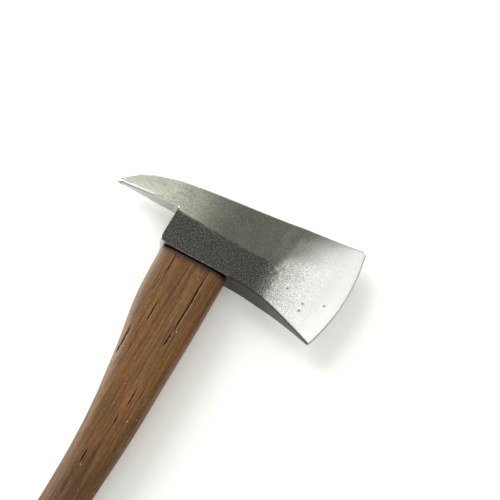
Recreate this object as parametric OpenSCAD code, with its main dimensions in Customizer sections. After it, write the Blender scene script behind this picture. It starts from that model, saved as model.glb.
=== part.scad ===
// Miniature pick-head axe, lying on its side.
// +Y runs up the haft to the head, +X from the pick to the cutting edge, +Z through the thickness.
// The origin is on the lower cheek, under the middle of the eye, level with the eye's open lower end.

/* [Head] */
// Thickness of the head over its flat cheeks
head_t = 5.4; // [4.6:0.1:6.5]
// Reach of the pick's tip behind the middle of the eye
pick_reach = 18.5; // [15:0.1:22]
// Height of the pick's lower edge above the eye's lower end
pick_base = 7.4; // [6.5:0.1:8]
// Thickness of the pick across its tip
tip_t = 0.9; // [0.5:0.1:1.6]
// Reach of the cutting edge, halfway along it, in front of the middle of the eye
blade_reach = 25.7; // [22:0.1:30]
// Bulge of the cutting edge in front of the line between its corners
edge_bulge = 1.25; // [0.4:0.05:2.5]
// Drop of the cutting edge's lower corner below the eye's lower end
heel_drop = 3.2; // [1:0.1:5]
// Height of the cutting edge's upper corner above the eye's lower end
toe_rise = 16.6; // [14.5:0.1:18]
// Thickness left along the cutting edge
edge_t = 0.3; // [0.2:0.05:0.6]
// Height of the head at the middle of the eye
eye_h = 12.9; // [11.5:0.1:14]
// Thickness of the head along its top, over the eye
top_t = 3.6; // [3:0.1:4.4]

/* [Eye] */
// Length of the eye, along the head
eye_l = 9.6; // [8:0.1:10.4]
// Width of the eye at its lower end
eye_w = 2.4; // [2:0.1:3.2]
// Width of the eye at its upper end, where the wedge spreads the wood
eye_top_w = 2.6; // [2.1:0.1:3.3]

/* [Haft] */
// Length of the haft below the head
haft_l = 133; // [110:1:160]
// Width of the haft at its shoulder, under the eye
shoulder_w = 12.2; // [11:0.1:12.8]
// Width of the haft at its grip
grip_w = 6.8; // [6:0.1:8]
// Thickness of the haft at its shoulder
shoulder_t = 4.9; // [4.2:0.1:5.2]
// Thickness of the haft at its grip
grip_t = 4.4; // [4:0.1:5]
// Width of the knob at the end of the haft
knob_w = 10.2; // [8.5:0.1:12]
// Slope of the cut across the end of the knob
butt_slope = 24; // [0:1:35]

/* [Wedges] */
// Depth of the saw kerf that the wooden wedge fills
kerf_depth = 8.4; // [6:0.1:10]
// Thickness of the wooden wedge at its upper end
wedge_t = 0.7; // [0.5:0.1:1]
// Thickness of each steel wedge at its upper end
steel_t = 0.45; // [0.3:0.05:0.8]
// How much shorter the wooden wedge is than the eye
wedge_inset = 0.6; // [0.5:0.1:2]
// Width of each steel wedge, across the wooden one
steel_w = 1.8; // [1.4:0.1:2.2]
// Depth of each steel wedge
steel_depth = 4.6; // [3:0.1:6]
// Distance of each steel wedge from the middle of the eye
steel_pitch = 2.5; // [1.8:0.1:3]
// Slant of the steel wedges across the wooden one
steel_slant = 18; // [0:1:35]

/* [Hidden] */
$fn = 48;
mid_z = head_t / 2;
clearance = 0.02;
past = 1;
lug_back = 6.45;
lug_front = 6.3;
lug_corner = 0.5;
pick_root_t = 4.3;
crease_y = 5.9;
taper_from = 11;
tip_y = 6.85;
toe_round = 0.9;
edge_lean = 0.7;
proud = 0.05;
top_slope = 0.09;
pick_join = -5;
curve_steps = 12;
haft_sides = 28;
steps_per_span = 4;
shoulder_shift = 0.35;
butt_y = -haft_l;
top_y = toe_rise + past;
bottom_y = -heel_drop - past;

edge_chord = blade_reach - edge_bulge;
heel = [edge_chord - edge_lean, -heel_drop];
toe = [edge_chord + edge_lean, toe_rise - toe_round];
tip = [-pick_reach, tip_y];
pick_top_end = [pick_join, eye_h + pick_join * top_slope];

// Distance along the haft, back edge, front edge, thickness and squareness of the section
HAFT = [
    [0, shoulder_shift - shoulder_w / 2, shoulder_shift + shoulder_w / 2, shoulder_t, 5],
    [-0.075, -5.2, 6.5, shoulder_t, 5],
    [-0.15, -3.5, 6.35, shoulder_t, 4.8],
    [-0.24, -2, 6.2, 4.7, 4.4],
    [-0.34, -1.7, 5.5, 4.6, 2.8],
    [-0.52, -2.5, 4.2, 4.5, 2.6],
    [-0.7, -0.5 - grip_w / 2, grip_w / 2 - 0.5, grip_t, 2.5],
    [-0.83, -0.3 - grip_w / 2, grip_w / 2 - 0.3, grip_t, 2.5],
    [-0.91, -3.5, 4.2, 4.8, 2.6],
    [-0.96, -0.37 * knob_w, 0.52 * knob_w, head_t, 2.8],
    [-1, -0.4 * knob_w, 0.6 * knob_w, head_t, 2.8],
    [-1.05, -0.44 * knob_w, 0.66 * knob_w, head_t, 2.8],
];

// Cubic curve from p[0] to p[3], pulled towards p[1] and p[2]
function cubic(p) = [
    for (i = [0:curve_steps])
        let (t = i / curve_steps, u = 1 - t)
            u * u * u * p[0] + 3 * u * u * t * p[1] + 3 * u * t * t * p[2] + t * t * t * p[3]
];

// Smooth row between rows k and k + 1 of a list, passing through every row
function row_at(rows, k) = rows[max(0, min(len(rows) - 1, k))];
function between(rows, k, t) =
    let (a = row_at(rows, k - 1), b = row_at(rows, k), c = row_at(rows, k + 1), d = row_at(rows, k + 2))
        b + t / 2 * (c - a) + t * t * (a - 2.5 * b + 2 * c - d / 2) + t * t * t * (1.5 * b - a / 2 - 1.5 * c + d / 2);

// Signed power, which squares up the section of the haft
function bulge(v, n) = sign(v) * pow(abs(v), 2 / n);

// Extrudes an outline of X against Z along the haft, from one height to another
module along_haft(from, to) {
    translate([0, to, mid_z])
        rotate([90, 0, 0])
            linear_extrude(to - from)
                children();
}

// Extrudes an outline of Y against Z along the head, from one place to another
module along_head(from, to) {
    translate([from, 0, mid_z])
        rotate([90, 0, 90])
            linear_extrude(to - from)
                children();
}

module head_side() {
    beard = cubic([[lug_front, 0], [12.5, 0.1], [17.5, 1.9 - heel_drop], heel]);
    pull = [edge_bulge * 4 / 3, 0];
    edge = cubic([heel, (2 * heel + toe) / 3 + pull, (heel + 2 * toe) / 3 + pull, toe]);
    corner = cubic([toe, toe + [0, toe_round / 2], [toe[0] - 0.4, toe_rise], [toe[0] - toe_round, toe_rise]]);
    top = cubic([[toe[0] - toe_round, toe_rise], [17, toe_rise - 1.9], [2, 13.2], pick_top_end]);
    pick = cubic([pick_top_end, [-10, 11.92], [-17.7, 10.1], tip]);
    polygon(concat([[-lug_back, 0]], beard, edge, corner, top, pick, [[-lug_back, pick_base]]));
}

module head_plan() {
    pick = cubic([[-pick_reach, tip_t / 2], [-15, 1], [-11, 1.85], [-lug_back, pick_root_t / 2]]);
    side = concat(
        pick,
        [[lug_corner - lug_back, mid_z]],
        cubic([[taper_from, mid_z], [14, mid_z - 0.2], [18, 1.6], [blade_reach, edge_t / 2]]),
        [[blade_reach + past, edge_t / 2]]
    );
    polygon(concat(side, [for (i = [len(side) - 1:-1:0]) [side[i][0], -side[i][1]]]));
}

module head_section() {
    thinning = (head_t - top_t) / 2 / (eye_h - crease_y);
    top_half = mid_z - thinning * (top_y - crease_y);
    polygon([
        [bottom_y, -mid_z],
        [crease_y, -mid_z],
        [top_y, -top_half],
        [top_y, top_half],
        [crease_y, mid_z],
        [bottom_y, mid_z],
    ]);
}

// The space inside the head, which widens upwards; gap makes it smaller all round
module eye_space(from, to, gap) {
    intersection() {
        along_haft(from, to)
            round_ended(eye_l - 2 * gap, eye_top_w - 2 * gap);
        along_head(-eye_l, eye_l)
            polygon([
                [from, -eye_half(from) + gap],
                [to, -eye_half(to) + gap],
                [to, eye_half(to) - gap],
                [from, eye_half(from) - gap],
            ]);
    }
}

function eye_half(y) = (eye_w + (eye_top_w - eye_w) * y / eye_h) / 2;

module round_ended(l, w) {
    square([l - w, w], center = true);
    for (end = [-1, 1])
        translate([end * (l - w) / 2, 0])
            circle(d = w);
}

module axe_head() {
    color("dimgray")
        difference() {
            intersection() {
                linear_extrude(head_t)
                    head_side();
                along_haft(bottom_y, top_y)
                    head_plan();
                along_head(-pick_reach - past, blade_reach + past)
                    head_section();
            }
            eye_space(-past, top_y, 0);
        }
}

module haft_body() {
    spans = len(HAFT) - 1;
    rows = [
        for (k = [0:spans - 1], s = [0:steps_per_span - 1]) between(HAFT, k, s / steps_per_span),
        HAFT[spans],
    ];
    points = [
        for (row = rows, i = [0:haft_sides - 1])
            let (a = 360 * i / haft_sides)
                [
                    (row[1] + row[2]) / 2 + (row[2] - row[1]) / 2 * bulge(cos(a), row[4]),
                    row[0] * haft_l - clearance,
                    mid_z + min(row[3], head_t) / 2 * bulge(sin(a), row[4]),
                ]
    ];
    sides = [
        for (k = [0:len(rows) - 2], i = [0:haft_sides - 1])
            let (a = k * haft_sides + i, b = k * haft_sides + (i + 1) % haft_sides)
                each [[a, a + haft_sides, b], [b, a + haft_sides, b + haft_sides]]
    ];
    last = (len(rows) - 1) * haft_sides;
    caps = [[for (i = [0:haft_sides - 1]) i], [for (i = [haft_sides - 1:-1:0]) last + i]];
    polyhedron(points, concat(sides, caps));
}

// Everything above the sloping top of the head, raised by lift
module above_head(lift) {
    along_z = [
        [-eye_l, eye_h + lift - eye_l * top_slope],
        [eye_l, eye_h + lift + eye_l * top_slope],
        [eye_l, top_y + 2 * past],
        [-eye_l, top_y + 2 * past],
    ];
    translate([0, 0, -past])
        linear_extrude(head_t + 2 * past)
            polygon(along_z);
}

// A wedge that fills a slot downwards from the top of the head
module wedge_blank(l, t, depth, gap) {
    low = eye_h - depth + gap;
    high = eye_h + 2 * past;
    thin = t / 5 - gap;
    along_head(-l / 2 + gap, l / 2 - gap)
        polygon([[low, -thin / 2], [high, gap - t / 2], [high, t / 2 - gap], [low, thin / 2]]);
}

module steel_blank(place, gap) {
    translate([place, 0, mid_z])
        rotate([0, 90 - steel_slant, 0])
            translate([0, 0, -mid_z])
                wedge_blank(steel_w, steel_t, steel_depth, gap);
}

module haft() {
    color("saddlebrown")
        difference() {
            union() {
                difference() {
                    haft_body();
                    translate([0, butt_y, 0])
                        rotate([0, 0, -butt_slope])
                            translate([-haft_l, -haft_l, -past])
                                cube([2 * haft_l, haft_l, head_t + 2 * past]);
                }
                eye_space(-past, top_y, clearance);
            }
            above_head(proud);
            wedge_blank(eye_l + past, wedge_t, kerf_depth, 0);
            for (place = [-steel_pitch, steel_pitch])
                steel_blank(place, 0);
        }
}

module eye_wedge() {
    color("burlywood")
        difference() {
            wedge_blank(eye_l - wedge_inset, wedge_t, kerf_depth, clearance);
            above_head(proud);
            for (place = [-steel_pitch, steel_pitch])
                steel_blank(place, 0);
        }
}

module steel_wedge(place) {
    color("silver")
        difference() {
            steel_blank(place, clearance);
            above_head(proud);
        }
}

module steel_wedge_front() {
    steel_wedge(steel_pitch);
}

module steel_wedge_rear() {
    steel_wedge(-steel_pitch);
}

axe_head();
haft();
eye_wedge();
steel_wedge_front();
steel_wedge_rear();
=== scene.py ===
"""Looks of a miniature pick-head axe that lies on its side.

Lengths are in millimetres until a mesh is made.
"""

import math

import bpy
import numpy as np
from mathutils import Matrix, Vector


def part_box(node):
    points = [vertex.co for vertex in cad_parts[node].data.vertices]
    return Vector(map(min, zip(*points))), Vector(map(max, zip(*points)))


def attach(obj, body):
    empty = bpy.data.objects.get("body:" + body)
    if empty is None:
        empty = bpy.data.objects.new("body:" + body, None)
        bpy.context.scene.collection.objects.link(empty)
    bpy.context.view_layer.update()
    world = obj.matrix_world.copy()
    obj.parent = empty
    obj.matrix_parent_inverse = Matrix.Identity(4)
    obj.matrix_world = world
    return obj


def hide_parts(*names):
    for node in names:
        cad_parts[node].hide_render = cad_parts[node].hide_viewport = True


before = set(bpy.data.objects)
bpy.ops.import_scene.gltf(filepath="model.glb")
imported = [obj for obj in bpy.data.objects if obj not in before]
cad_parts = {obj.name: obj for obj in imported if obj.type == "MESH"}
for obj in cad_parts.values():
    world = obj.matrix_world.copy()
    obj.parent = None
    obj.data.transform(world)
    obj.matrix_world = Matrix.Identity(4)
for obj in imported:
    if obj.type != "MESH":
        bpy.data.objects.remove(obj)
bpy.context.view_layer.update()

MM = 0.001


def node_box(name):
    """Lowest and highest corner of a CAD node, in millimetres."""
    low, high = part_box(name)
    return np.array(low) / MM, np.array(high) / MM


HEAD_LOW, HEAD_HIGH = node_box("axe_head")
HEAD_T = HEAD_HIGH[2] - HEAD_LOW[2]
MID_Z = HEAD_T / 2
PICK_REACH = -HEAD_LOW[0]
HEEL_DROP = -HEAD_LOW[1]
TOE_RISE = HEAD_HIGH[1]

# Head, as in the CAD model
LUG_BACK = 6.45
LUG_FRONT = 6.3
PICK_BASE = 7.4
TIP_Y = 6.85
TIP_T = 0.9
EYE_H = 12.9
EDGE_CHORD = 24.45
EDGE_LEAN = 0.7
EDGE_BULGE = 1.25
EDGE_T = 0.3
TOE_ROUND = 0.9
TOP_SLOPE = 0.09
PICK_JOIN = -5.0
CREASE_Y = 5.9
THINNING = 0.129
EYE_L = 9.6
EYE_W = 2.4
EYE_TOP_W = 2.6

# The head's visible form and finish
CREASE_CLIMB = 11.8
SHOULDER_END = 14.8
SHOULDER_DROP = 0.4
EDGE_ROUND = 0.24
EYE_ROUND = 0.15
GRAIN_DEPTH = 0.022
PIT_DEPTH = 0.09
HEAD_STEP = 0.138

# Haft, as in the CAD model
HAFT_L = 133.0
KNOB_W = 10.2
GRIP_W = 6.8
GRIP_T = 4.4
SHOULDER_W = 12.2
SHOULDER_T = 4.9
BUTT_SLOPE = math.radians(24)
HAFT_T_HALF = GRIP_T / 2
PROUD = 0.05

# Wedges, as in the CAD model
KERF_DEPTH = 8.4
WEDGE_T = 0.7
WEDGE_INSET = 0.6
STEEL_T = 0.45
STEEL_W = 1.8
STEEL_DEPTH = 4.6
STEEL_PITCH = 2.5
STEEL_SLANT = 18

# Camera
CAMERA_TARGET = (7.4, 7.1, MID_Z)
CAMERA_AZIMUTH = 13.9
CAMERA_ELEVATION = 67.0
CAMERA_ROLL = -15.06
CAMERA_DISTANCE = 261.9
LENS = 111.4


# ---------------------------------------------------------------- curves and fields


def cubic(points, steps=24):
    """Cubic curve from the first point to the last, pulled towards the two between."""
    p = np.array(points, float)
    t = np.linspace(0, 1, steps + 1)[:, None]
    u = 1 - t
    return u**3 * p[0] + 3 * u * u * t * p[1] + 3 * u * t * t * p[2] + t**3 * p[3]


def rounded_corner(before, at, after, radius, steps=8):
    """Short curve that rounds the corner of an outline."""
    before, at, after = (np.array(p, float) for p in (before, at, after))
    start = at + (before - at) / np.linalg.norm(before - at) * radius
    end = at + (after - at) / np.linalg.norm(after - at) * radius
    return cubic([start, (start + 2 * at) / 3, (end + 2 * at) / 3, end], steps)


def smoothstep(low, high, value):
    """Rises smoothly from 0 at low to 1 at high, which may be the smaller of the two."""
    t = np.clip((value - low) / (high - low), 0, 1)
    return t * t * (3 - 2 * t)


def soft_positive(value, width):
    """max(value, 0) with its corner rounded over width."""
    return (value + np.sqrt(value * value + width * width)) / 2


def waves(points, wavelength, seed, count=14):
    """Smooth seeded noise from -1 to 1, as a sum of waves in random directions."""
    rng = np.random.default_rng(seed)
    total = np.zeros(len(points))
    for _ in range(count):
        direction = rng.normal(size=points.shape[1])
        direction *= 2 * math.pi / (wavelength * rng.uniform(0.7, 1.5) * np.linalg.norm(direction))
        total += np.cos(points @ direction + rng.uniform(0, 2 * math.pi))
    return total / math.sqrt(count)


def head_outline():
    """Side view of the head: beard, cutting edge, top, pick and the back of the lug."""
    heel = np.array([EDGE_CHORD - EDGE_LEAN, -HEEL_DROP])
    toe = np.array([EDGE_CHORD + EDGE_LEAN, TOE_RISE - TOE_ROUND])
    toe_top = np.array([toe[0] - TOE_ROUND, TOE_RISE])
    join = np.array([PICK_JOIN, EYE_H + PICK_JOIN * TOP_SLOPE])
    tip = np.array([-PICK_REACH, TIP_Y])
    root = np.array([-LUG_BACK, PICK_BASE])
    base = np.array([-LUG_BACK, 0])
    beard = cubic([[LUG_FRONT, 0], [12.5, 0.1], [17.5, 1.9 - HEEL_DROP], heel], 60)
    edge = cutting_edge()
    parts = [
        beard[:-1],
        rounded_corner(beard[-2], heel, edge[1], 0.3),
        edge[1:-1],
        cubic([toe, toe + [0, TOE_ROUND / 2], [toe[0] - 0.4, TOE_RISE], toe_top], 10),
        cubic([toe_top, [17, TOE_RISE - 1.9], [2, 13.2], join], 60)[1:],
        cubic([join, [-10, 11.92], [-17.7, 10.1], tip], 40)[1:-1],
        rounded_corner(tip + [0.5, 1.2], tip, root, 0.12),
        rounded_corner(tip, root, base, 0.9),
        rounded_corner(root, base, [LUG_FRONT, 0], 0.9),
    ]
    return np.vstack(parts)


def cutting_edge():
    """The curve of the cutting edge, from its lower corner to its upper one."""
    heel = np.array([EDGE_CHORD - EDGE_LEAN, -HEEL_DROP])
    toe = np.array([EDGE_CHORD + EDGE_LEAN, TOE_RISE - TOE_ROUND])
    pull = np.array([EDGE_BULGE * 4 / 3, 0])
    return cubic([heel, (2 * heel + toe) / 3 + pull, (heel + 2 * toe) / 3 + pull, toe])


def outline_distance(x, y, outline):
    """Distance from points to a closed outline, negative inside it."""
    nearest = np.full(x.shape, np.inf)
    inside = np.zeros(x.shape, bool)
    for a, b in zip(outline, np.roll(outline, -1, axis=0)):
        along = b - a
        length = along @ along
        if length < 1e-12:
            continue
        t = np.clip(((x - a[0]) * along[0] + (y - a[1]) * along[1]) / length, 0, 1)
        nearest = np.minimum(nearest, np.hypot(x - a[0] - t * along[0], y - a[1] - t * along[1]))
        spans = (a[1] > y) != (b[1] > y)
        if along[1]:
            inside ^= spans & (x < a[0] + (y - a[1]) / along[1] * along[0])
    return np.where(inside, -nearest, nearest)


def crease_height(x):
    """Height of the soft crease above which the head thins. It climbs to the blade's upper corner."""
    towards_pick = 0.085 * soft_positive(4.5 - x, 1.0)
    towards_toe = 0.82 * soft_positive(x - CREASE_CLIMB, 0.6)
    return CREASE_Y - 0.15 + towards_pick + towards_toe


def half_thickness(x, y):
    """Half the head's thickness: full at the lug, thinning upwards, to the pick and to the cutting edge."""
    pick = cubic([[-PICK_REACH, TIP_T / 2], [-14.4, 1.0], [-5, MID_Z], [3, MID_Z]], 150)
    shoulder_end = [SHOULDER_END, MID_Z - SHOULDER_DROP]
    shoulder = cubic([[CREASE_CLIMB, MID_Z], [13.2, MID_Z], [13.6, MID_Z - 0.1], shoulder_end], 60)
    blade = cubic([shoulder[-1], [18.2, 1.55], [22.3, 0.62], [EDGE_CHORD + EDGE_BULGE, EDGE_T / 2]], 150)
    plan = np.vstack([pick, shoulder, blade[1:]])
    above = y - crease_height(x)
    boss = smoothstep(0.55, -0.45, above) * smoothstep(-7.6, -6.6, x) * (x < 8)
    flat = np.interp(x, plan[:, 0], plan[:, 1])
    flat = flat + (MID_Z - flat) * boss
    rounding = 0.5 + 1.1 * smoothstep(10, 14, x)
    return flat * (1 - THINNING / MID_Z * soft_positive(above, rounding))


class Flat:
    """A field over the side view, kept on a fine grid and read between its points."""

    STEP = 0.06
    PAD = 1.0

    def __init__(self, outline):
        """Lays the grid over an outline, with a margin round it."""
        self.low = outline.min(0) - self.PAD
        size = np.ceil((outline.max(0) + self.PAD - self.low) / self.STEP).astype(int) + 1
        x = self.low[0] + self.STEP * np.arange(size[0])
        y = self.low[1] + self.STEP * np.arange(size[1])
        self.x, self.y = np.meshgrid(x, y, indexing="ij")

    def read(self, values, x, y):
        """Values of a field on the grid, at any points."""
        u = np.clip((x - self.low[0]) / self.STEP, 0, values.shape[0] - 1.001)
        v = np.clip((y - self.low[1]) / self.STEP, 0, values.shape[1] - 1.001)
        i, j = u.astype(int), v.astype(int)
        u, v = u - i, v - j
        low = values[i, j] * (1 - u) + values[i + 1, j] * u
        high = values[i, j + 1] * (1 - u) + values[i + 1, j + 1] * u
        return low * (1 - v) + high * v


def round_and(a, b, radius):
    """Intersection of two solids given by distance, its edges rounded to radius."""
    u = np.maximum(a + radius, 0)
    v = np.maximum(b + radius, 0)
    return np.minimum(-radius, np.maximum(a, b)) + np.sqrt(u * u + v * v)


def eye_distance(x, y, z):
    """Distance to the wall of the eye, negative in its opening."""
    half = (EYE_W + (EYE_TOP_W - EYE_W) * y / EYE_H) / 2
    return np.hypot(np.maximum(np.abs(x) - (EYE_L / 2 - half), 0), z) - half


def surface_net(values, origin, step):
    """Points and quads of the surface where values change sign on a regular grid."""
    cells = tuple(n - 1 for n in values.shape)
    total = np.zeros((int(np.prod(cells)), 3))
    count = np.zeros(int(np.prod(cells)))
    inside = values < 0
    rings = []
    for axis in range(3):
        u, v = (axis + 1) % 3, (axis + 2) % 3
        low = [slice(None)] * 3
        high = [slice(None)] * 3
        low[axis] = slice(0, -1)
        high[axis] = slice(1, None)
        at = np.argwhere(inside[tuple(low)] != inside[tuple(high)])
        fits = (at[:, u] > 0) & (at[:, v] > 0) & (at[:, u] < cells[u]) & (at[:, v] < cells[v])
        at = at[fits]
        ahead = at.copy()
        ahead[:, axis] += 1
        first = values[tuple(at.T)]
        second = values[tuple(ahead.T)]
        place = at.astype(float)
        place[:, axis] += first / (first - second)
        ring = []
        for du, dv in ((-1, -1), (0, -1), (0, 0), (-1, 0)):
            cell = at.copy()
            cell[:, u] += du
            cell[:, v] += dv
            number = np.ravel_multi_index(tuple(cell.T), cells)
            np.add.at(total, number, place)
            np.add.at(count, number, 1)
            ring.append(number)
        ring = np.stack(ring, axis=1)
        outward = first < 0
        rings.append(np.where(outward[:, None], ring, ring[:, ::-1]))
    used = count > 0
    index = np.cumsum(used) - 1
    points = total[used] / count[used, None] * step + origin
    return points, index[np.vstack(rings)]


def settle(points, field, rounds=4, reach=0.02):
    """Moves points along the field's slope until they lie on its zero surface."""
    for _ in range(rounds):
        value = field(points)
        slope = np.zeros_like(points)
        for axis in range(3):
            shift = np.zeros(3)
            shift[axis] = reach
            slope[:, axis] = (field(points + shift) - field(points - shift)) / (2 * reach)
        points = points - slope * (value / np.maximum((slope**2).sum(1), 0.2))[:, None]
    return points


# ---------------------------------------------------------------- meshes


def mesh_object(name, points, faces, attributes, material):
    """A smooth mesh from points in millimetres about the middle plane, with a mask for each named array."""
    mesh = bpy.data.meshes.new(name)
    places = (np.asarray(points) + [0, 0, MID_Z]) * MM
    mesh.from_pydata(places.tolist(), [], [face for group in faces for face in group.tolist()])
    mesh.polygons.foreach_set("use_smooth", np.ones(len(mesh.polygons), bool))
    for key, values in attributes.items():
        layer = mesh.attributes.new(key, "FLOAT", "POINT")
        layer.data.foreach_set("value", np.asarray(values, np.float32))
    mesh.materials.append(material)
    thing = bpy.data.objects.new(name, mesh)
    bpy.context.scene.collection.objects.link(thing)
    return thing


# Dark pits in the blade: place across and up, and radius
PITS = [(19.6, 1.1, 0.16), (19.6, 2.5, 0.14), (22.9, 4.2, 0.13), (16.2, 3.4, 0.12), (13.4, 10.4, 0.12)]


def pit_depth(x, y):
    """How deep the pits are at each point, from 0 to 1."""
    depth = np.zeros(x.shape)
    for across, up, radius in PITS:
        depth = np.maximum(depth, np.exp(-((x - across) ** 2 + (y - up) ** 2) / radius**2))
    return depth


def edge_radius(x, y, half):
    """Rounding of the head's edges: wide under the pick, tight on the back of the lug and at the tip."""
    pick_belly = smoothstep(-9.5, -12.5, x) * smoothstep(9.2, 7.6, y)
    lug_back = smoothstep(-5.9, -6.2, x) * smoothstep(8.2, 7.7, y) * smoothstep(-9.0, -7.6, x)
    tip = smoothstep(-16.3, -18.0, x)
    rounding = (EDGE_ROUND + 0.2 * pick_belly - 0.14 * lug_back) * (1 - 0.62 * tip)
    return np.minimum(rounding, 0.85 * half)


def head_shape():
    """Points and quads of the cast head, with the points' depths in from the outline and below the cheek."""
    outline = head_outline()
    flat = Flat(outline)
    rim = outline_distance(flat.x, flat.y, outline)
    half = half_thickness(flat.x, flat.y)
    radius = edge_radius(flat.x, flat.y, half)
    steep = np.sqrt(1 + sum(g * g for g in np.gradient(half, Flat.STEP)))

    def field(points):
        """Distance to the head's skin, negative inside it."""
        x, y, z = points[:, 0], points[:, 1], points[:, 2]
        thick = flat.read(half, x, y)
        unevenness = np.clip(waves(points[:, :2] + z[:, None] * 0.3, 4.5, 3), -1.6, 1.6)
        swell = 0.012 * unevenness * smoothstep(0.2, 1.2, thick)
        dents = GRAIN_DEPTH + PIT_DEPTH * pit_depth(x, y) * (z > 0)
        cheek = (np.abs(z) - thick) / flat.read(steep, x, y) + swell + dents
        body = round_and(cheek, flat.read(rim, x, y), flat.read(radius, x, y))
        return round_and(body, -eye_distance(x, y, z), EYE_ROUND)

    low = np.array([*outline.min(0), -MID_Z]) - 2.5 * HEAD_STEP
    high = np.array([*outline.max(0), MID_Z]) + 2.5 * HEAD_STEP
    sizes = np.ceil((high - low) / HEAD_STEP).astype(int) + 1
    axes = [low[k] + HEAD_STEP * np.arange(sizes[k]) for k in range(3)]
    grid = np.stack(np.meshgrid(*axes, indexing="ij"), axis=-1).reshape(-1, 3)
    values = np.concatenate([field(part) for part in np.array_split(grid, 8)]).reshape(sizes)
    points, quads = surface_net(values, low, HEAD_STEP)
    points = settle(points, field)
    inward = -flat.read(rim, points[:, 0], points[:, 1])
    below = flat.read(half, points[:, 0], points[:, 1]) - np.abs(points[:, 2])
    return points, quads, inward, below


def cheek_masks(x, y, ragged):
    """Where the cheeks are dark (partly painted shade), coarse, bright or part of the pick, each with a
    ragged border.
    """
    above = y - crease_height(np.minimum(x, 11)) + 0.1 * ragged
    past_crease = x - 13.9 + 1.3 * np.maximum(y - 4.4, 0) + 0.4 * ragged
    lug = smoothstep(0.7, -0.7, above) * smoothstep(1.1, -1.1, past_crease)
    bright = smoothstep(10.5, 19, x - 0.45 * np.maximum(y - 8.5, 0) + 0.12 * ragged)
    pick = smoothstep(3.3, -8.5, x + 0.2 * ragged) * (1 - 0.7 * smoothstep(-8, -17, x)) * (1 - lug)
    blade = smoothstep(10.5, 13.5, x) * smoothstep(24.0, 14.5, x + 0.5 * ragged)
    blade *= smoothstep(0.8, -1.6, y - crease_height(x))
    upper = 0.24 * smoothstep(20, 14, x) * smoothstep(-12, -4, x)
    coarse = np.maximum(np.maximum(lug, 0.65 * blade), np.maximum(upper, 0.06))
    return {"lug": lug, "coarse": coarse, "bright": bright, "pick": pick}


def wall_masks(x, y, inward):
    """Where the walls round the outline get painted reflection, pale under the pick and painted shade under
    the beard, and where the pick's lower edge gets a painted highlight.
    """
    wall = smoothstep(0.28, 0.1, inward)
    under_pick = smoothstep(-6.5, -8.0, x) * smoothstep(8.8, 8.2, y)
    corner = smoothstep(-5.0, -5.8, x) * smoothstep(1.1, 0.6, y)
    under_beard = smoothstep(6.3, 7.2, x) * smoothstep(4.5, 3.0, y)
    lug_back = smoothstep(-5.9, -6.2, x) * smoothstep(-6.95, -6.7, x)
    lug_back *= smoothstep(1.0, 1.8, y) * smoothstep(7.6, 6.6, y)
    # belly marks the walls under the pick, lightened as a painted reflection; beard marks the walls under
    # the beard and behind the lug, darkened as painted shade.
    return {
        "belly": wall * np.maximum(under_pick, corner),
        "beard": wall * np.maximum(under_beard, lug_back),
        # Where the painted highlight and the painted shade line run along the pick's lower edge.
        "bevel_highlight": smoothstep(-10.6, -11.6, x) * smoothstep(9.4, 8.8, y),
    }


def edge_masks(x, y, ragged):
    """Where the blade gets a painted highlight near its cutting edge, and the thin line of painted shade
    along that edge.
    """
    edge = cutting_edge()
    to_edge = np.interp(y, edge[:, 1], edge[:, 0]) - x
    return {"blade_edge_highlight": smoothstep(4.0, 0.8, to_edge), "edge_shade_line": smoothstep(0.3, 0.18, to_edge + 0.02 * ragged)}


def head_masks(points, inward, below):
    """Every mask that the cast metal reads."""
    x, y, z = points.T
    ragged = waves(points[:, :2], 1.3, 11)
    return {
        **cheek_masks(x, y, ragged),
        **wall_masks(x, y, inward),
        **edge_masks(x, y, ragged),
        "pit": pit_depth(x, y) * (z > 0),
        "inward": inward + 0.2 * smoothstep(-17.2, -18.2, x),
        "below": below,
    }


def make_head():
    """The cast head, with its masks and its metal."""
    points, quads, inward, below = head_shape()
    return mesh_object("head_casting", points, [quads], head_masks(points, inward, below), cast_metal())


# Haft: height as a share of its length, back edge, front edge, thickness and squareness of the section
HAFT = np.array([
    [0, 0.35 - SHOULDER_W / 2, 0.35 + SHOULDER_W / 2, SHOULDER_T, 5],
    [-0.075, -5.2, 6.5, SHOULDER_T, 5],
    [-0.15, -3.5, 6.35, SHOULDER_T, 4.8],
    [-0.24, -2, 6.2, 4.7, 4.4],
    [-0.34, -1.7, 5.5, 4.6, 2.8],
    [-0.52, -2.5, 4.2, 4.5, 2.6],
    [-0.7, -0.5 - GRIP_W / 2, GRIP_W / 2 - 0.5, GRIP_T, 2.5],
    [-0.83, -0.3 - GRIP_W / 2, GRIP_W / 2 - 0.3, GRIP_T, 2.5],
    [-0.91, -3.5, 4.2, 4.8, 2.6],
    [-0.96, -0.37 * KNOB_W, 0.52 * KNOB_W, HEAD_T, 2.8],
    [-1, -0.4 * KNOB_W, 0.6 * KNOB_W, HEAD_T, 2.8],
    [-1.05, -0.44 * KNOB_W, 0.66 * KNOB_W, HEAD_T, 2.8],
])

# Points round a section, height between sections, rounding of the ends, and gap to the head
AROUND = 320
HAFT_STEP = 0.6
EASE = 0.55
GAP = 0.02

# Draws noise out along the haft
ALONG_GRAIN = [1, 0.06, 1]


def row_curve(rows, steps=24):
    """A smooth curve through every row of a table."""
    last = len(rows) - 1
    curve = []
    for k in range(last):
        a, b, c, d = (rows[min(max(k + s, 0), last)] for s in (-1, 0, 1, 2))
        for t in np.arange(steps) / steps:
            bend = a - 2.5 * b + 2 * c - d / 2
            twist = 1.5 * b - a / 2 - 1.5 * c + d / 2
            curve.append(b + t / 2 * (c - a) + t * t * bend + t**3 * twist)
    return np.array(curve + [rows[last]])


CURVE = row_curve(HAFT)


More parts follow.
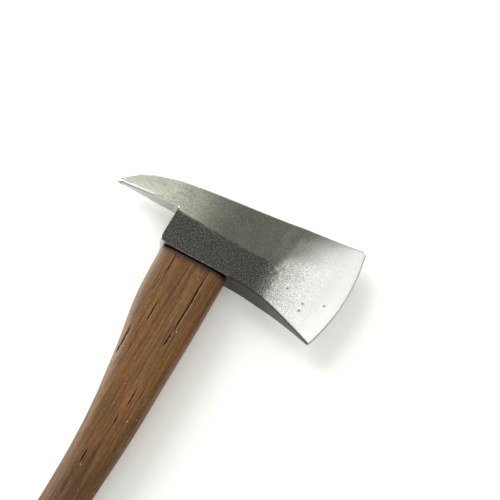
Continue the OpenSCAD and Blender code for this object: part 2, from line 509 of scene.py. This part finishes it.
def even_ring(points):
    """Closed ring of points at even spacing along the one given."""
    closed = np.vstack([points, points[:1]])
    length = np.concatenate([[0], np.cumsum(np.linalg.norm(np.diff(closed, axis=0), axis=1))])
    at = np.linspace(0, length[-1], AROUND, endpoint=False)
    return np.column_stack([np.interp(at, length, closed[:, k]) for k in range(closed.shape[1])])


def superellipse(back, front, thick, squareness):
    """Ring round the haft's section, in X and Z."""
    angle = np.linspace(0, 2 * math.pi, 3 * AROUND, endpoint=False)
    x = np.sign(np.cos(angle)) * np.abs(np.cos(angle)) ** (2 / squareness)
    z = np.sign(np.sin(angle)) * np.abs(np.sin(angle)) ** (2 / squareness)
    return even_ring(np.column_stack([(back + front) / 2 + (front - back) / 2 * x, thick / 2 * z]))


def slot_ring(length, width, end_round):
    """Ring round a slot whose ends are rounded to a share of its width, in X and Z."""
    angle = np.linspace(0, 2 * math.pi, 3 * AROUND, endpoint=False)
    bend = end_round * width / 2
    x = np.cos(angle) * bend + np.sign(np.cos(angle)) * (length / 2 - bend)
    z = np.sin(angle) * bend + np.sign(np.sin(angle)) * (width / 2 - bend)
    return even_ring(np.column_stack([x, z]))


def raised(ring, height):
    """Ring of X and Z set at a height along Y, which may differ from point to point."""
    return np.column_stack([ring[:, 0], np.broadcast_to(height, len(ring)), ring[:, 1]])


def inset(ring, normal, distance):
    """Moves a flat ring inwards, square to its own edge."""
    along = np.roll(ring, -1, axis=0) - np.roll(ring, 1, axis=0)
    side = np.cross(along, normal)
    side /= np.linalg.norm(side, axis=1)[:, None]
    if ((ring.mean(0) - ring) * side).sum() < 0:
        side = -side
    return ring + side * distance


def eased(ring, normal, radius, steps=6):
    """Rings that round a skin over from its side into a flat end with the given normal."""
    turns = np.linspace(0, math.pi / 2, steps + 1)
    return [
        inset(ring, normal, radius * (1 - math.cos(turn))) + normal * radius * math.sin(turn)
        for turn in turns
    ]


def bridge(first, last, steps):
    """Rings between two others, without either of them."""
    return [first + (last - first) * k / steps for k in range(1, steps)]


def loft(rings):
    """Points and faces of a skin over rings, fanned shut at both ends."""
    count = len(rings[0])
    i = np.arange(count)
    j = (i + 1) % count
    quads = [
        np.column_stack([k * count + i, (k + 1) * count + i, (k + 1) * count + j, k * count + j])
        for k in range(len(rings) - 1)
    ]
    first = len(rings) * count
    last = first - count
    start = np.column_stack([np.full(count, first), i, j])
    end = np.column_stack([np.full(count, first + 1), last + j, last + i])
    points = np.vstack(rings + [rings[0].mean(0)[None], rings[-1].mean(0)[None]])
    return points, [np.vstack(quads), start, end]


def head_top(x, lift):
    """Height of the head's sloping top."""
    return EYE_H + lift + x * TOP_SLOPE


def shaft_ring(y, lean):
    """Section of the haft at a height, leaning with the cut across its butt."""
    curve = CURVE[::-1]

    def at(height, column):
        """One column of the haft's table at a height."""
        return np.interp(height, curve[:, 0] * HAFT_L, curve[:, column])

    tilt = lean * math.tan(BUTT_SLOPE)
    back, front = at(y, 1), at(y, 2)
    for _ in range(4):
        back, front = at(y - tilt * back, 1), at(y - tilt * front, 2)
    thick = min(at(y, 3), HEAD_T - 2 * GAP)
    ring = superellipse(back, front, thick, at(y, 4))
    return raised(ring, y - tilt * ring[:, 0])


def haft_rings():
    """Rings from the butt up the shaft, over the shoulder, up the tongue and down into the kerf."""
    slope = np.array([-math.sin(BUTT_SLOPE), -math.cos(BUTT_SLOPE), 0])
    up = np.array([0, 1, 0])
    butt = shaft_ring(-HAFT_L + EASE / math.cos(BUTT_SLOPE), 1)
    shoulder = shaft_ring(-EASE - GAP, 0)
    heights = np.arange(-HAFT_L + 1.1, -EASE - 0.3, HAFT_STEP)
    shaft = [shaft_ring(y, smoothstep(-0.84 * HAFT_L, -HAFT_L, y)) for y in heights]
    lower = eased(butt, slope, EASE)[::-1]
    upper = eased(shoulder, up, EASE)
    cut = [lower[0] + (lower[0].mean(0) - lower[0]) * share for share in (0.96, 0.8, 0.6, 0.4, 0.2)]
    tongue = []
    for share in np.linspace(0, 1, 9):
        width = EYE_W + (EYE_TOP_W - EYE_W) * share - 2 * GAP
        ring = slot_ring(EYE_L - 2 * GAP, width, 1)
        tongue.append(raised(ring, -GAP + share * head_top(ring[:, 0], PROUD + GAP)))
    top = eased(tongue.pop() - [0, 0.08, 0], up, 0.08, 3)
    kerf = []
    for share in (0, 0.02, 0.5, 1):
        ring = slot_ring(EYE_L - WEDGE_INSET, WEDGE_T * (1 - 0.8 * share), 0.4)
        kerf.append(raised(ring, head_top(ring[:, 0], PROUD) - 0.03 * (share > 0) - share * KERF_DEPTH))
    root = bridge(upper[-1], tongue[0], 3)
    flat = bridge(top[-1], kerf[0], 4)
    return cut[::-1] + lower + shaft + upper + root + tongue + top + flat + kerf


# Slits of the open pores that the upper side shows: place across, ends along, width and depth
UPPER_SLITS = [
    (-2.62, -0.9, -4.9, 0.11, 0.22),
    (-2.9, -5.2, -7.9, 0.07, 0.12),
    (3.6, -0.7, -3.0, 0.09, 0.18),
    (3.58, -2.2, -12.9, 0.13, 0.34),
    (3.36, -13.2, -15.9, 0.13, 0.3),
    (-1.2, -9.8, -13.4, 0.12, 0.26),
    (-1.45, -14.0, -16.4, 0.06, 0.1),
    (-3.0, -15.2, -20.8, 0.13, 0.3),
    (-1.4, -17.9, -19.6, 0.1, 0.18),
    (3.15, -24.3, -27.6, 0.12, 0.24),
    (2.7, -29.4, -31.3, 0.12, 0.24),
    (0.3, -2.0, -4.4, 0.06, 0.1),
    (5.3, -1.2, -6.0, 0.07, 0.12),
    (1.2, -21.5, -24.0, 0.06, 0.1),
    (4.6, -17.0, -22.0, 0.07, 0.1),
    (0.6, -33.0, -36.0, 0.07, 0.12),
]
BACK_NOTCHES = [(1.3, -12.7, -13.6, 0.25, 0.3), (-0.6, -24.0, -30.0, 0.12, 0.2)]
FRONT_NOTCHES = [(1.5, -20.2, -21.2, 0.2, 0.25), (0.4, -9.0, -14.0, 0.1, 0.2)]
SPARE_SLITS = 26


def spare_slits(seed, reach, from_y):
    """Seeded slits over a side of the haft, from a height down to the knob."""
    rng = np.random.default_rng(seed)
    slits = []
    for _ in range(SPARE_SLITS):
        start = rng.uniform(-0.95 * HAFT_L, from_y)
        long = rng.uniform(1.2, 8)
        width = rng.uniform(0.07, 0.14)
        slits.append((rng.uniform(-reach, reach), start, start - long, width, 2 * width))
    return slits


def slit_mask(across, y, slits, depth):
    """Deepest slit at each point, and how far inside one it is from 0 to 1."""
    rng = np.random.default_rng(5)
    for place, top, bottom, width, deep in slits:
        middle, half = (top + bottom) / 2, (top - bottom) / 2
        phase = rng.uniform(0, 6)
        near = np.abs(y - middle) < half
        along = (y[near] - middle) / half
        sway = 0.035 * np.sin(y[near] * 0.9 + phase) + 0.02 * np.sin(y[near] * 3.7 + phase)
        taper = np.sqrt(1 - along**4) * (0.8 + 0.2 * np.sin(y[near] * 4.1 + 2 * phase))
        inside = np.exp(-(((across[near] - place - sway) / (width * (0.4 + 0.4 * taper))) ** 2)) * taper
        depth[near] = np.maximum(depth[near], inside * deep)
    return depth


def haft_outward(points):
    """Directions away from the haft's middle line, and the X of that line, at each point."""
    x, y, z = points.T
    height = CURVE[::-1, 0] * HAFT_L
    centre = np.interp(y, height, (CURVE[::-1, 1] + CURVE[::-1, 2]) / 2)
    wide = np.interp(y, height, (CURVE[::-1, 2] - CURVE[::-1, 1]) / 2)
    out = np.column_stack([(x - centre) / wide**2, np.zeros(len(x)), z / (HAFT_T_HALF**2)])
    out /= np.maximum(np.linalg.norm(out, axis=1), 1e-9)[:, None]
    return out, centre


def pore_depth(points, out, centre):
    """Depth of the open pores on the upper, lower, front and back sides of the haft."""
    x, y, z = points.T
    none = np.zeros(len(x))
    upper = slit_mask(x, y, UPPER_SLITS + spare_slits(21, 3.0, -36), none.copy())
    lower = slit_mask(x, y, spare_slits(22, 4.0, -2), none.copy())
    front = slit_mask(z, y, FRONT_NOTCHES + spare_slits(23, 1.8, -2), none.copy())
    back = slit_mask(z, y, BACK_NOTCHES + spare_slits(24, 1.8, -2), none.copy())
    flank = np.abs(out[:, 0]) > 0.75
    return np.where(flank, np.where(x > centre, front, back), np.where(z > 0, upper, lower))


def haft_masks(points, out, sunk, on_shaft):
    """Masks for the wood: pores, painted shadow under the head, cut ends, a greyer lower shaft and painted
    sheen on the back edges.
    """
    x, y = points[:, 0], points[:, 1]
    stretched = points * ALONG_GRAIN
    # Painted sheen: the back edges are paler, most partway round, and less down the shaft.
    backward = -out[:, 0]
    edge_sheen = smoothstep(0.2, 0.45, backward) * (1 - 0.85 * smoothstep(0.7, 0.95, backward))
    edge_sheen *= on_shaft * (1 - 0.7 * smoothstep(-12, -34, y))
    edge_sheen *= 0.75 + 0.25 * np.clip(waves(stretched, 2.5, 34), -1, 1)
    from_butt = y + HAFT_L + x * math.tan(BUTT_SLOPE)
    return {
        "pore": np.clip(sunk / 0.16, 0, 1),
        # Painted shadow under the head, darkest at the top of the haft.
        "head_shadow": smoothstep(-1.4, -0.45, y + 0.25 * waves(stretched, 1.5, 33)),
        "cut": np.maximum(smoothstep(0.1, 0.5, y), smoothstep(0, -0.4, from_butt)),
        # Greyer and darker down the shaft.
        "lower_shaft": smoothstep(-18, -58, y),
        "edge_sheen": edge_sheen,
    }


def weather(points):
    """Sinks the pores and a slight unevenness into the haft, and returns masks for its material."""
    y = points[:, 1]
    on_shaft = smoothstep(0, -0.6, y) * smoothstep(-HAFT_L - 3.2, -HAFT_L - 1, y)
    out, centre = haft_outward(points)
    sunk = pore_depth(points, out, centre) * on_shaft
    stretched = points * ALONG_GRAIN
    ripple = 0.012 * (1 + waves(stretched, 0.9, 31)) + 0.03 * (1 + waves(stretched, 3.5, 32))
    masks = haft_masks(points, out, sunk, on_shaft)
    return points - out * (sunk + np.clip(ripple, 0, 0.12) * on_shaft)[:, None], masks


def make_haft():
    """The haft, with its pores, its masks and its wood."""
    points, faces = loft(haft_rings())
    points, masks = weather(points)
    return mesh_object("haft_wood", points, faces, masks, stained_wood())


def wedge_rings(length, thick, depth, lift, edge):
    """Rings of a wedge from its thin lower end up to its head, which follows the head's sloping top."""
    rings = []
    for share in (1, 0.6, 0.3, 0.1, 0.02):
        ring = slot_ring(length, thick * (1 - 0.8 * share), 0.3)
        rings.append(raised(ring, head_top(ring[:, 0], lift) - share * depth))
    top = slot_ring(length, thick, 0.3)
    tops = eased(raised(top, head_top(top[:, 0], lift) - edge), np.array([0, 1, 0]), edge, 3)
    return rings + tops + [tops[-1] + (tops[-1].mean(0) - tops[-1]) * share for share in (0.3, 0.6, 0.85)]


def make_eye_wedge():
    """The wooden wedge in the kerf, with a slightly uneven head."""
    rings = wedge_rings(EYE_L - WEDGE_INSET - 2 * GAP, WEDGE_T - 2 * GAP, KERF_DEPTH - 0.2, PROUD, 0.05)
    points, faces = loft(rings)
    crown = smoothstep(-0.3, 0, points[:, 1] - head_top(points[:, 0], PROUD))
    points[:, 1] -= 0.03 * crown * (1 + waves(points, 0.4, 41))
    return mesh_object("wedge_wood", points, faces, {"cut": crown}, wedge_wood())


def make_steel_wedge(name, place, seed):
    """A steel wedge across the wooden one, its head spread and dented by the hammer."""
    points, faces = loft(wedge_rings(STEEL_W, STEEL_T, STEEL_DEPTH, PROUD + 0.12, 0.07))
    crown = smoothstep(-0.5, 0, points[:, 1] - EYE_H - PROUD)
    spread = 1 + 0.12 * crown
    points = points * np.column_stack([spread, np.ones(len(spread)), spread])
    points[:, 1] -= 0.04 * crown * (1 + waves(points, 0.5, seed))
    turn = math.radians(90 - STEEL_SLANT)
    x, y, z = points.T
    y = y - x * TOP_SLOPE
    turned_x = place + x * math.cos(turn) + z * math.sin(turn)
    turned = np.column_stack([turned_x, y + turned_x * TOP_SLOPE, z * math.cos(turn) - x * math.sin(turn)])
    return mesh_object(name, turned, faces, {"crown": crown}, wedge_steel())


# ---------------------------------------------------------------- materials


class Shader:
    """A material under construction, with short calls for the nodes it uses."""

    def __init__(self, name):
        """Starts a material with its usual surface node."""
        self.material = bpy.data.materials.new(name)
        self.material.use_nodes = True
        self.nodes = self.material.node_tree.nodes
        self.links = self.material.node_tree.links
        self.surface = self.nodes["Principled BSDF"]

    def add(self, kind, sockets, **settings):
        """A new node, with values or links for its sockets."""
        node = self.nodes.new("ShaderNode" + kind)
        for key, value in settings.items():
            setattr(node, key, value)
        for key, value in sockets.items():
            self.join(value, node.inputs[key])
        return node

    def join(self, value, socket):
        """Links a socket, or sets it to a plain value."""
        if isinstance(value, bpy.types.NodeSocket):
            self.links.new(value, socket)
        else:
            socket.default_value = value

    def tone(self, colour):
        """A colour or a grey with its alpha. A link stays as it is."""
        if isinstance(colour, bpy.types.NodeSocket):
            return colour
        return (*colour, 1) if isinstance(colour, tuple) else (colour, colour, colour, 1)

    def place(self, stretch=(1, 1, 1)):
        """Object coordinates in millimetres, scaled along each axis."""
        where = self.add("TexCoord", {}).outputs["Object"]
        scale = [s / MM for s in stretch]
        return self.add("Mapping", {"Vector": where, "Scale": scale}).outputs["Vector"]

    def noise(self, place, scale, detail=3.0, rough=0.55, distortion=0.0):
        """Noise from 0 to 1, with scale blobs to a millimetre."""
        shape = {"Scale": scale, "Detail": detail, "Roughness": rough, "Distortion": distortion}
        return self.add("TexNoise", {"Vector": place, **shape}).outputs[0]

    def mask(self, name):
        """One of the masks kept on the mesh."""
        return self.add("Attribute", {}, attribute_name=name).outputs["Fac"]

    def ramp(self, value, stops):
        """Colours or greys for a value, in straight lines from stop to stop."""
        node = self.add("ValToRGB", {"Fac": value})
        line = node.color_ramp
        while len(line.elements) < len(stops):
            line.elements.new(0.5)
        for element, (at, colour) in zip(line.elements, stops):
            element.position = at
            element.color = self.tone(colour)
        return node.outputs["Color"]

    def mix(self, share, first, second, blend="MIX"):
        """The first colour with a share of the second over it."""
        node = self.add("MixRGB", {"Fac": share}, blend_type=blend)
        self.join(self.tone(first), node.inputs[1])
        self.join(self.tone(second), node.inputs[2])
        return node.outputs[0]

    def maths(self, operation, first, second):
        """One sum on two values."""
        return self.add("Math", {0: first, 1: second}, operation=operation).outputs[0]

    def bump(self, height, depth, normal=None):
        """Bump whose height of 1 is depth millimetres."""
        sockets = {"Height": height, "Distance": depth * MM, "Strength": 1.0}
        if normal is not None:
            sockets["Normal"] = normal
        return self.add("Bump", sockets).outputs["Normal"]

    def finish(self, colour, roughness, normal):
        """Joins the surface's inputs and gives the material."""
        self.join(colour, self.surface.inputs["Base Color"])
        self.join(roughness, self.surface.inputs["Roughness"])
        self.join(normal, self.surface.inputs["Normal"])
        return self.material


def cheek_colour(s, grain):
    """Cheeks mottled dark round the eye, partly a dark finish and partly painted shade, paler on the pick,
    bright towards the edge with a painted highlight near it, and speckled with painted glints.
    """
    lug, coarse, bright, pick = (s.mask(name) for name in ("lug", "coarse", "bright", "pick"))
    cloud = s.noise(s.place(), 0.35, 3.0, 0.5)
    steel = s.ramp(cloud, [(0.3, (0.295, 0.298, 0.250)), (0.7, (0.35, 0.353, 0.303))])
    # The dark tone round the eye is partly the metal's dark finish and partly painted shade.
    mottled = s.maths("ADD", lug, s.maths("MULTIPLY", s.maths("SUBTRACT", grain, 0.5), 1.2))
    dark = s.mix(s.ramp(mottled, [(0.25, 0.0), (0.75, 1.0)]), steel, (0.104, 0.106, 0.096))
    # Painted highlight: the blade grows brighter still near its cutting edge.
    blade_edge_highlight = s.mix(s.mask("blade_edge_highlight"), (0.84, 0.84, 0.83), (0.97, 0.97, 0.965))
    pale = s.mix(pick, s.mix(bright, dark, blade_edge_highlight), (0.71, 0.73, 0.63))
    # Painted glints: the grain's lighter specks brighten the colour up to nearly fourfold.
    speck_glint = s.ramp(grain, [(0.34, 0.45), (0.46, 0.75), (0.56, 1.2), (0.68, 3.8)])
    speckled = s.mix(coarse, pale, s.mix(1.0, pale, speck_glint, "MULTIPLY"))
    folds = s.noise(s.place((0.22, 0.75, 0.5)), 1.0, 3.0, 0.6, 0.8)
    marks = s.ramp(folds, [(0.445, 1.0), (0.47, 0.62), (0.495, 1.0)])
    return s.mix(pick, speckled, s.mix(1.0, speckled, marks, "MULTIPLY"))


def wall_colour(s, cheeks):
    """Lays the walls over the cheeks' colour: pale under the pick, a painted reflection of a lit floor; dark
    under the beard, painted shade for the shaded floor they mirror; with a dark line just under the cheeks'
    edge there.
    """
    beard = s.mask("beard")
    # Painted reflection: the walls under the pick are lightened as if mirroring a lit floor.
    bellied = s.mix(s.mask("belly"), cheeks, (0.50, 0.50, 0.49))
    # Painted shade: the walls under the beard are darkened as if mirroring a shaded floor, darkest near the
    # haft.
    shaded = s.mix(s.mask("bright"), (0.048, 0.048, 0.045), (0.11, 0.11, 0.10))
    walled = s.mix(beard, bellied, shaded)
    # A dark line along the walls under the beard, just below the cheeks' edge.
    band = s.ramp(s.mask("below"), [(0.1, 0.0), (0.2, 1.0), (0.36, 1.0), (0.55, 0.0)])
    dark_edge_line = s.maths("MULTIPLY", s.maths("MULTIPLY", beard, band), 0.75)
    return s.mix(dark_edge_line, walled, 0.03)


def painted_bevel_highlight(s, base):
    """A painted highlight: a white line along the pick's lower edge, over a darker line of painted shade."""
    bevel_highlight, inward = s.mask("bevel_highlight"), s.mask("inward")
    # Painted highlight: a white line a little in from the pick's lower edge.
    line = s.ramp(inward, [(0.16, 0.0), (0.24, 1.0), (0.42, 1.0), (0.5, 0.0)])
    highlighted = s.mix(s.maths("MULTIPLY", bevel_highlight, line), base, 1.0)
    # Painted shade: a darker line just under the white one.
    under = s.ramp(inward, [(0.0, 0.0), (0.05, 1.0), (0.12, 1.0), (0.2, 0.0)])
    return s.mix(s.maths("MULTIPLY", s.maths("MULTIPLY", bevel_highlight, under), 0.7), highlighted, 0.18)


def cast_metal():
    """Blasted cast metal, grainy round the eye, with a thin line of painted shade along its cutting edge,
    other painted light and shade on its cheeks and walls, and a few pits.
    """
    s = Shader("cast_metal")
    grain = s.noise(s.place(), 5.4, 2.0, 0.6)
    fine = s.noise(s.place(), 12.0, 2.0, 0.5)
    with_bevel_highlight = painted_bevel_highlight(s, wall_colour(s, cheek_colour(s, grain)))
    # Painted shade: a thin grey line along the cutting edge, standing for its dark reflection.
    edged = s.mix(s.mask("edge_shade_line"), with_bevel_highlight, 0.46)
    colour = s.mix(s.maths("MULTIPLY", s.mask("pit"), 0.5), edged, 0.16)
    rough = s.mix(s.mask("lug"), s.ramp(fine, [(0.3, 0.26), (0.7, 0.36)]), 0.36)
    normal = s.bump(s.maths("MULTIPLY", grain, s.mask("coarse")), 0.050)
    normal = s.bump(fine, 0.004, normal)
    s.surface.inputs["Metallic"].default_value = 1.0
    return s.finish(colour, rough, normal)


def wood_figure(s, fibre, pore_line):
    """Bands, orange and grey patches, threads, fibres, mottle and fine pores along the haft."""
    warp = s.noise(s.place((0.2, 0.025, 0.2)), 1.0, 2.0)
    bands = s.noise(s.place((0.75, 0.022, 0.75)), 1.0, 3.0, 0.6, 0.4)
    patches = s.noise(s.place((0.35, 0.09, 0.35)), 1.0, 2.0)
    threads = s.noise(s.place((2.6, 0.06, 2.6)), 1.0, 3.0, 0.6)
    blotches = s.noise(s.place((3.2, 1.3, 3.2)), 1.0, 3.0, 0.7)
    base = s.ramp(bands, [
        (0.30, (0.056, 0.021, 0.0038)),
        (0.42, (0.113, 0.046, 0.0088)),
        (0.52, (0.158, 0.071, 0.0155)),
        (0.60, (0.121, 0.047, 0.0086)),
        (0.70, (0.198, 0.098, 0.0225)),
    ])
    warm = s.mix(s.ramp(patches, [(0.53, 0.0), (0.70, 0.5)]), base, (0.225, 0.078, 0.0090))
    cool = s.mix(s.ramp(warp, [(0.50, 0.0), (0.68, 0.45)]), warm, (0.135, 0.067, 0.0210))
    streaked = s.mix(1.0, cool, s.ramp(threads, [(0.3, 0.6), (0.5, 1.0), (0.7, 1.24)]), "MULTIPLY")
    fibred = s.mix(1.0, streaked, s.ramp(fibre, [(0.3, 0.62), (0.48, 1.0), (0.7, 1.22)]), "MULTIPLY")
    mottled = s.mix(1.0, fibred, s.ramp(blotches, [(0.3, 0.74), (0.5, 1.0), (0.7, 1.2)]), "MULTIPLY")
    return s.mix(pore_line, mottled, (0.025, 0.008, 0.0014))


def stained_wood():
    """Open-pored wood with a brown finish, dusty, greyer down the shaft, with painted sheen on its back
    edges, painted shadow under the head, and dark cut ends and pores.
    """
    s = Shader("stained_wood")
    pore, head_shadow, cut, lower_shaft, edge_sheen = (s.mask(name) for name in ("pore", "head_shadow", "cut", "lower_shaft", "edge_sheen"))
    fibre = s.noise(s.place((7.0, 0.22, 7.0)), 1.0, 3.0, 0.7)
    pores = s.noise(s.place((5.0, 0.22, 5.0)), 1.0, 1.0, 0.4)
    figure = wood_figure(s, fibre, s.ramp(pores, [(0.26, 0.7), (0.33, 0.0)]))
    ended = s.mix(s.maths("MULTIPLY", cut, 0.6), figure, (0.042, 0.015, 0.0024))
    # Painted sheen: pale tan over the back edges.
    sheened = s.mix(s.maths("MULTIPLY", edge_sheen, 0.55), ended, (0.33, 0.25, 0.175))
    # Greyer and darker down the shaft.
    greyed_lower = s.mix(lower_shaft, sheened, s.mix(1.0, sheened, (0.64, 0.66, 0.72), "MULTIPLY"))
    # Painted shadow: near black under the head.
    shadowed = s.mix(s.maths("MULTIPLY", head_shadow, 0.9), greyed_lower, (0.012, 0.005, 0.0012))
    dust = s.ramp(s.noise(s.place(), 2.4, 0.0), [(0.83, 0.0), (0.87, 0.6)])
    dusted = s.mix(dust, shadowed, (0.62, 0.60, 0.56))
    colour = s.mix(s.ramp(pore, [(0.15, 0.0), (0.75, 1.0)]), dusted, (0.009, 0.0042, 0.0012))
    rough = s.mix(pore, s.ramp(fibre, [(0.3, 0.60), (0.7, 0.42)]), 0.95)
    normal = s.bump(fibre, 0.05)
    normal = s.bump(s.ramp(pores, [(0.26, 0.0), (0.35, 1.0)]), 0.05, normal)
    s.surface.inputs["Coat Weight"].default_value = 0.12
    s.surface.inputs["Coat Roughness"].default_value = 0.35
    s.surface.inputs["Specular IOR Level"].default_value = 0.3
    return s.finish(colour, rough, normal)


def wedge_wood():
    """Pale end grain of the wedge, a little dirty."""
    s = Shader("wedge_wood")
    fibre = s.noise(s.place((9.0, 0.3, 9.0)), 1.0, 3.0, 0.6)
    dirt = s.noise(s.place(), 1.6, 3.0, 0.6)
    dark, middle, light = (0.20, 0.11, 0.055), (0.40, 0.25, 0.14), (0.50, 0.33, 0.19)
    base = s.ramp(fibre, [(0.3, dark), (0.55, middle), (0.75, light)])
    colour = s.mix(s.ramp(dirt, [(0.45, 0.0), (0.7, 0.7)]), base, (0.10, 0.06, 0.04))
    return s.finish(colour, s.ramp(dirt, [(0.3, 0.7), (0.7, 0.5)]), s.bump(fibre, 0.03))


def wedge_steel():
    """Bare steel, brushed along its faces and peened on top."""
    s = Shader("wedge_steel")
    brushed = s.noise(s.place((0.6, 9.0, 0.6)), 1.0, 3.0, 0.7)
    peened = s.noise(s.place(), 2.4, 2.0, 0.5)
    dull, plain, clean = (0.30, 0.28, 0.26), (0.52, 0.52, 0.51), (0.66, 0.66, 0.65)
    colour = s.ramp(peened, [(0.35, dull), (0.55, plain), (0.75, clean)])
    normal = s.bump(brushed, 0.01, s.bump(peened, 0.05))
    s.surface.inputs["Metallic"].default_value = 1.0
    return s.finish(colour, s.ramp(brushed, [(0.3, 0.30), (0.7, 0.45)]), normal)


# ---------------------------------------------------------------- studio

# The floor's side in metres, its gap under the axe in millimetres, and its glow
FLOOR_SIZE = 4.0
FLOOR_GAP = 0.1
FLOOR_GLOW = 0.15

# What the lights face, in millimetres
HEAD_CENTRE = (6, 5, 3)

# Lights: name, direction from the head, side in metres and brightness
LIGHTS = [
    ("softbox_right", (0.38, 0.28, 0.88), 0.29, 1.15),
    ("key_left", (-0.82, 0.43, 0.37), 0.42, 10.0),
    ("card_front", (-0.25, -0.62, 0.72), 0.3, 1.5),
]

# Towards the middle of the dark ceiling, the room's brightness at an angle in degrees from there, and
# the share of blue in it
DARK_TOWARDS = (0.0, 0.40, 0.92)
SKY = [(90, 0.9), (50, 0.66), (26, 0.34), (12, 0.15), (0, 0.05)]
SKY_BLUE = 0.90


def direction(azimuth, elevation):
    """Unit vector towards an azimuth, counted from -Y towards +X, and an elevation."""
    a, e = math.radians(azimuth), math.radians(elevation)
    return Vector((math.sin(a) * math.cos(e), -math.cos(a) * math.cos(e), math.sin(e)))


def make_floor():
    """A white card just under the axe, with a weak glow that keeps it as white as a lit table."""
    bpy.ops.mesh.primitive_plane_add(size=FLOOR_SIZE, location=(0, 0, -FLOOR_GAP * MM))
    floor = bpy.context.object
    floor.name = "floor"
    s = Shader("floor_card")
    tone = s.noise(s.place(), 0.02, 2.0)
    colour = s.ramp(tone, [(0.3, (0.89, 0.89, 0.885)), (0.7, (0.91, 0.91, 0.905))])
    s.surface.inputs["Emission Color"].default_value = (1, 1, 1, 1)
    s.surface.inputs["Emission Strength"].default_value = FLOOR_GLOW
    floor.data.materials.append(s.finish(colour, 0.8, s.bump(s.noise(s.place(), 1.5, 2.0), 0.01)))


def softbox(name, towards, size, brightness, distance=0.6):
    """Square light that faces the head from a direction, with its sides along X and square to it."""
    out = Vector(towards).normalized()
    across = (Vector((1, 0, 0)) - out * out.x).normalized()
    light = bpy.data.lights.new(name, "AREA")
    light.shape = "SQUARE"
    light.size = size
    light.energy = brightness * math.pi * size * size
    lamp = bpy.data.objects.new(name, light)
    turn = Matrix((across, out.cross(across), out)).transposed().to_4x4()
    lamp.matrix_world = Matrix.Translation(Vector(HEAD_CENTRE) * MM + out * distance) @ turn
    bpy.context.scene.collection.objects.link(lamp)


def make_world():
    """A pale room with a darker ceiling over the head."""
    world = bpy.data.worlds.new("studio")
    bpy.context.scene.world = world
    world.use_nodes = True
    nodes, links = world.node_tree.nodes, world.node_tree.links
    where = nodes.new("ShaderNodeTexCoord")
    facing = nodes.new("ShaderNodeVectorMath")
    facing.operation = "DOT_PRODUCT"
    facing.inputs[1].default_value = Vector(DARK_TOWARDS).normalized()
    ramp = nodes.new("ShaderNodeValToRGB")
    for _ in range(len(SKY) - 2):
        ramp.color_ramp.elements.new(0.5)
    for element, (angle, grey) in zip(ramp.color_ramp.elements, SKY):
        element.position = max(math.cos(math.radians(angle)), 0)
        element.color = (grey, grey, SKY_BLUE * grey, 1)
    links.new(where.outputs["Generated"], facing.inputs[0])
    links.new(facing.outputs["Value"], ramp.inputs["Fac"])
    links.new(ramp.outputs["Color"], nodes["Background"].inputs["Color"])
    nodes["Background"].inputs["Strength"].default_value = 1.0


def make_camera():
    """The camera, which looks down at the head and is turned about its own axis."""
    back = direction(CAMERA_AZIMUTH, CAMERA_ELEVATION)
    level = Vector((math.cos(math.radians(CAMERA_AZIMUTH)), math.sin(math.radians(CAMERA_AZIMUTH)), 0))
    right = Matrix.Rotation(math.radians(-CAMERA_ROLL), 3, back) @ level
    data = bpy.data.cameras.new("camera")
    data.sensor_width = 36
    data.lens = LENS
    data.clip_start = 0.01
    camera = bpy.data.objects.new("camera", data)
    place = Vector(CAMERA_TARGET) * MM + back * CAMERA_DISTANCE * MM
    basis = Matrix((right, back.cross(right), back)).transposed()
    camera.matrix_world = Matrix.Translation(place) @ basis.to_4x4()
    bpy.context.scene.collection.objects.link(camera)
    bpy.context.scene.camera = camera


def make_studio():
    """Floor, room, lights and camera."""
    make_floor()
    make_world()
    for name, towards, size, brightness in LIGHTS:
        softbox(name, towards, size, brightness)
    make_camera()
    bpy.context.scene.view_settings.view_transform = "Standard"


PIECES = [
    (make_head(), "axe_head", "head_metal"),
    (make_haft(), "haft", "haft_wood"),
    (make_eye_wedge(), "eye_wedge", "wedge_wood"),
    (make_steel_wedge("steel_wedge_fore", STEEL_PITCH, 51), "steel_wedge_front", "wedge_steel"),
    (make_steel_wedge("steel_wedge_back", -STEEL_PITCH, 52), "steel_wedge_rear", "wedge_steel"),
]
for piece, node, slot in PIECES:
    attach(piece, "root")
    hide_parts(node)
make_studio()
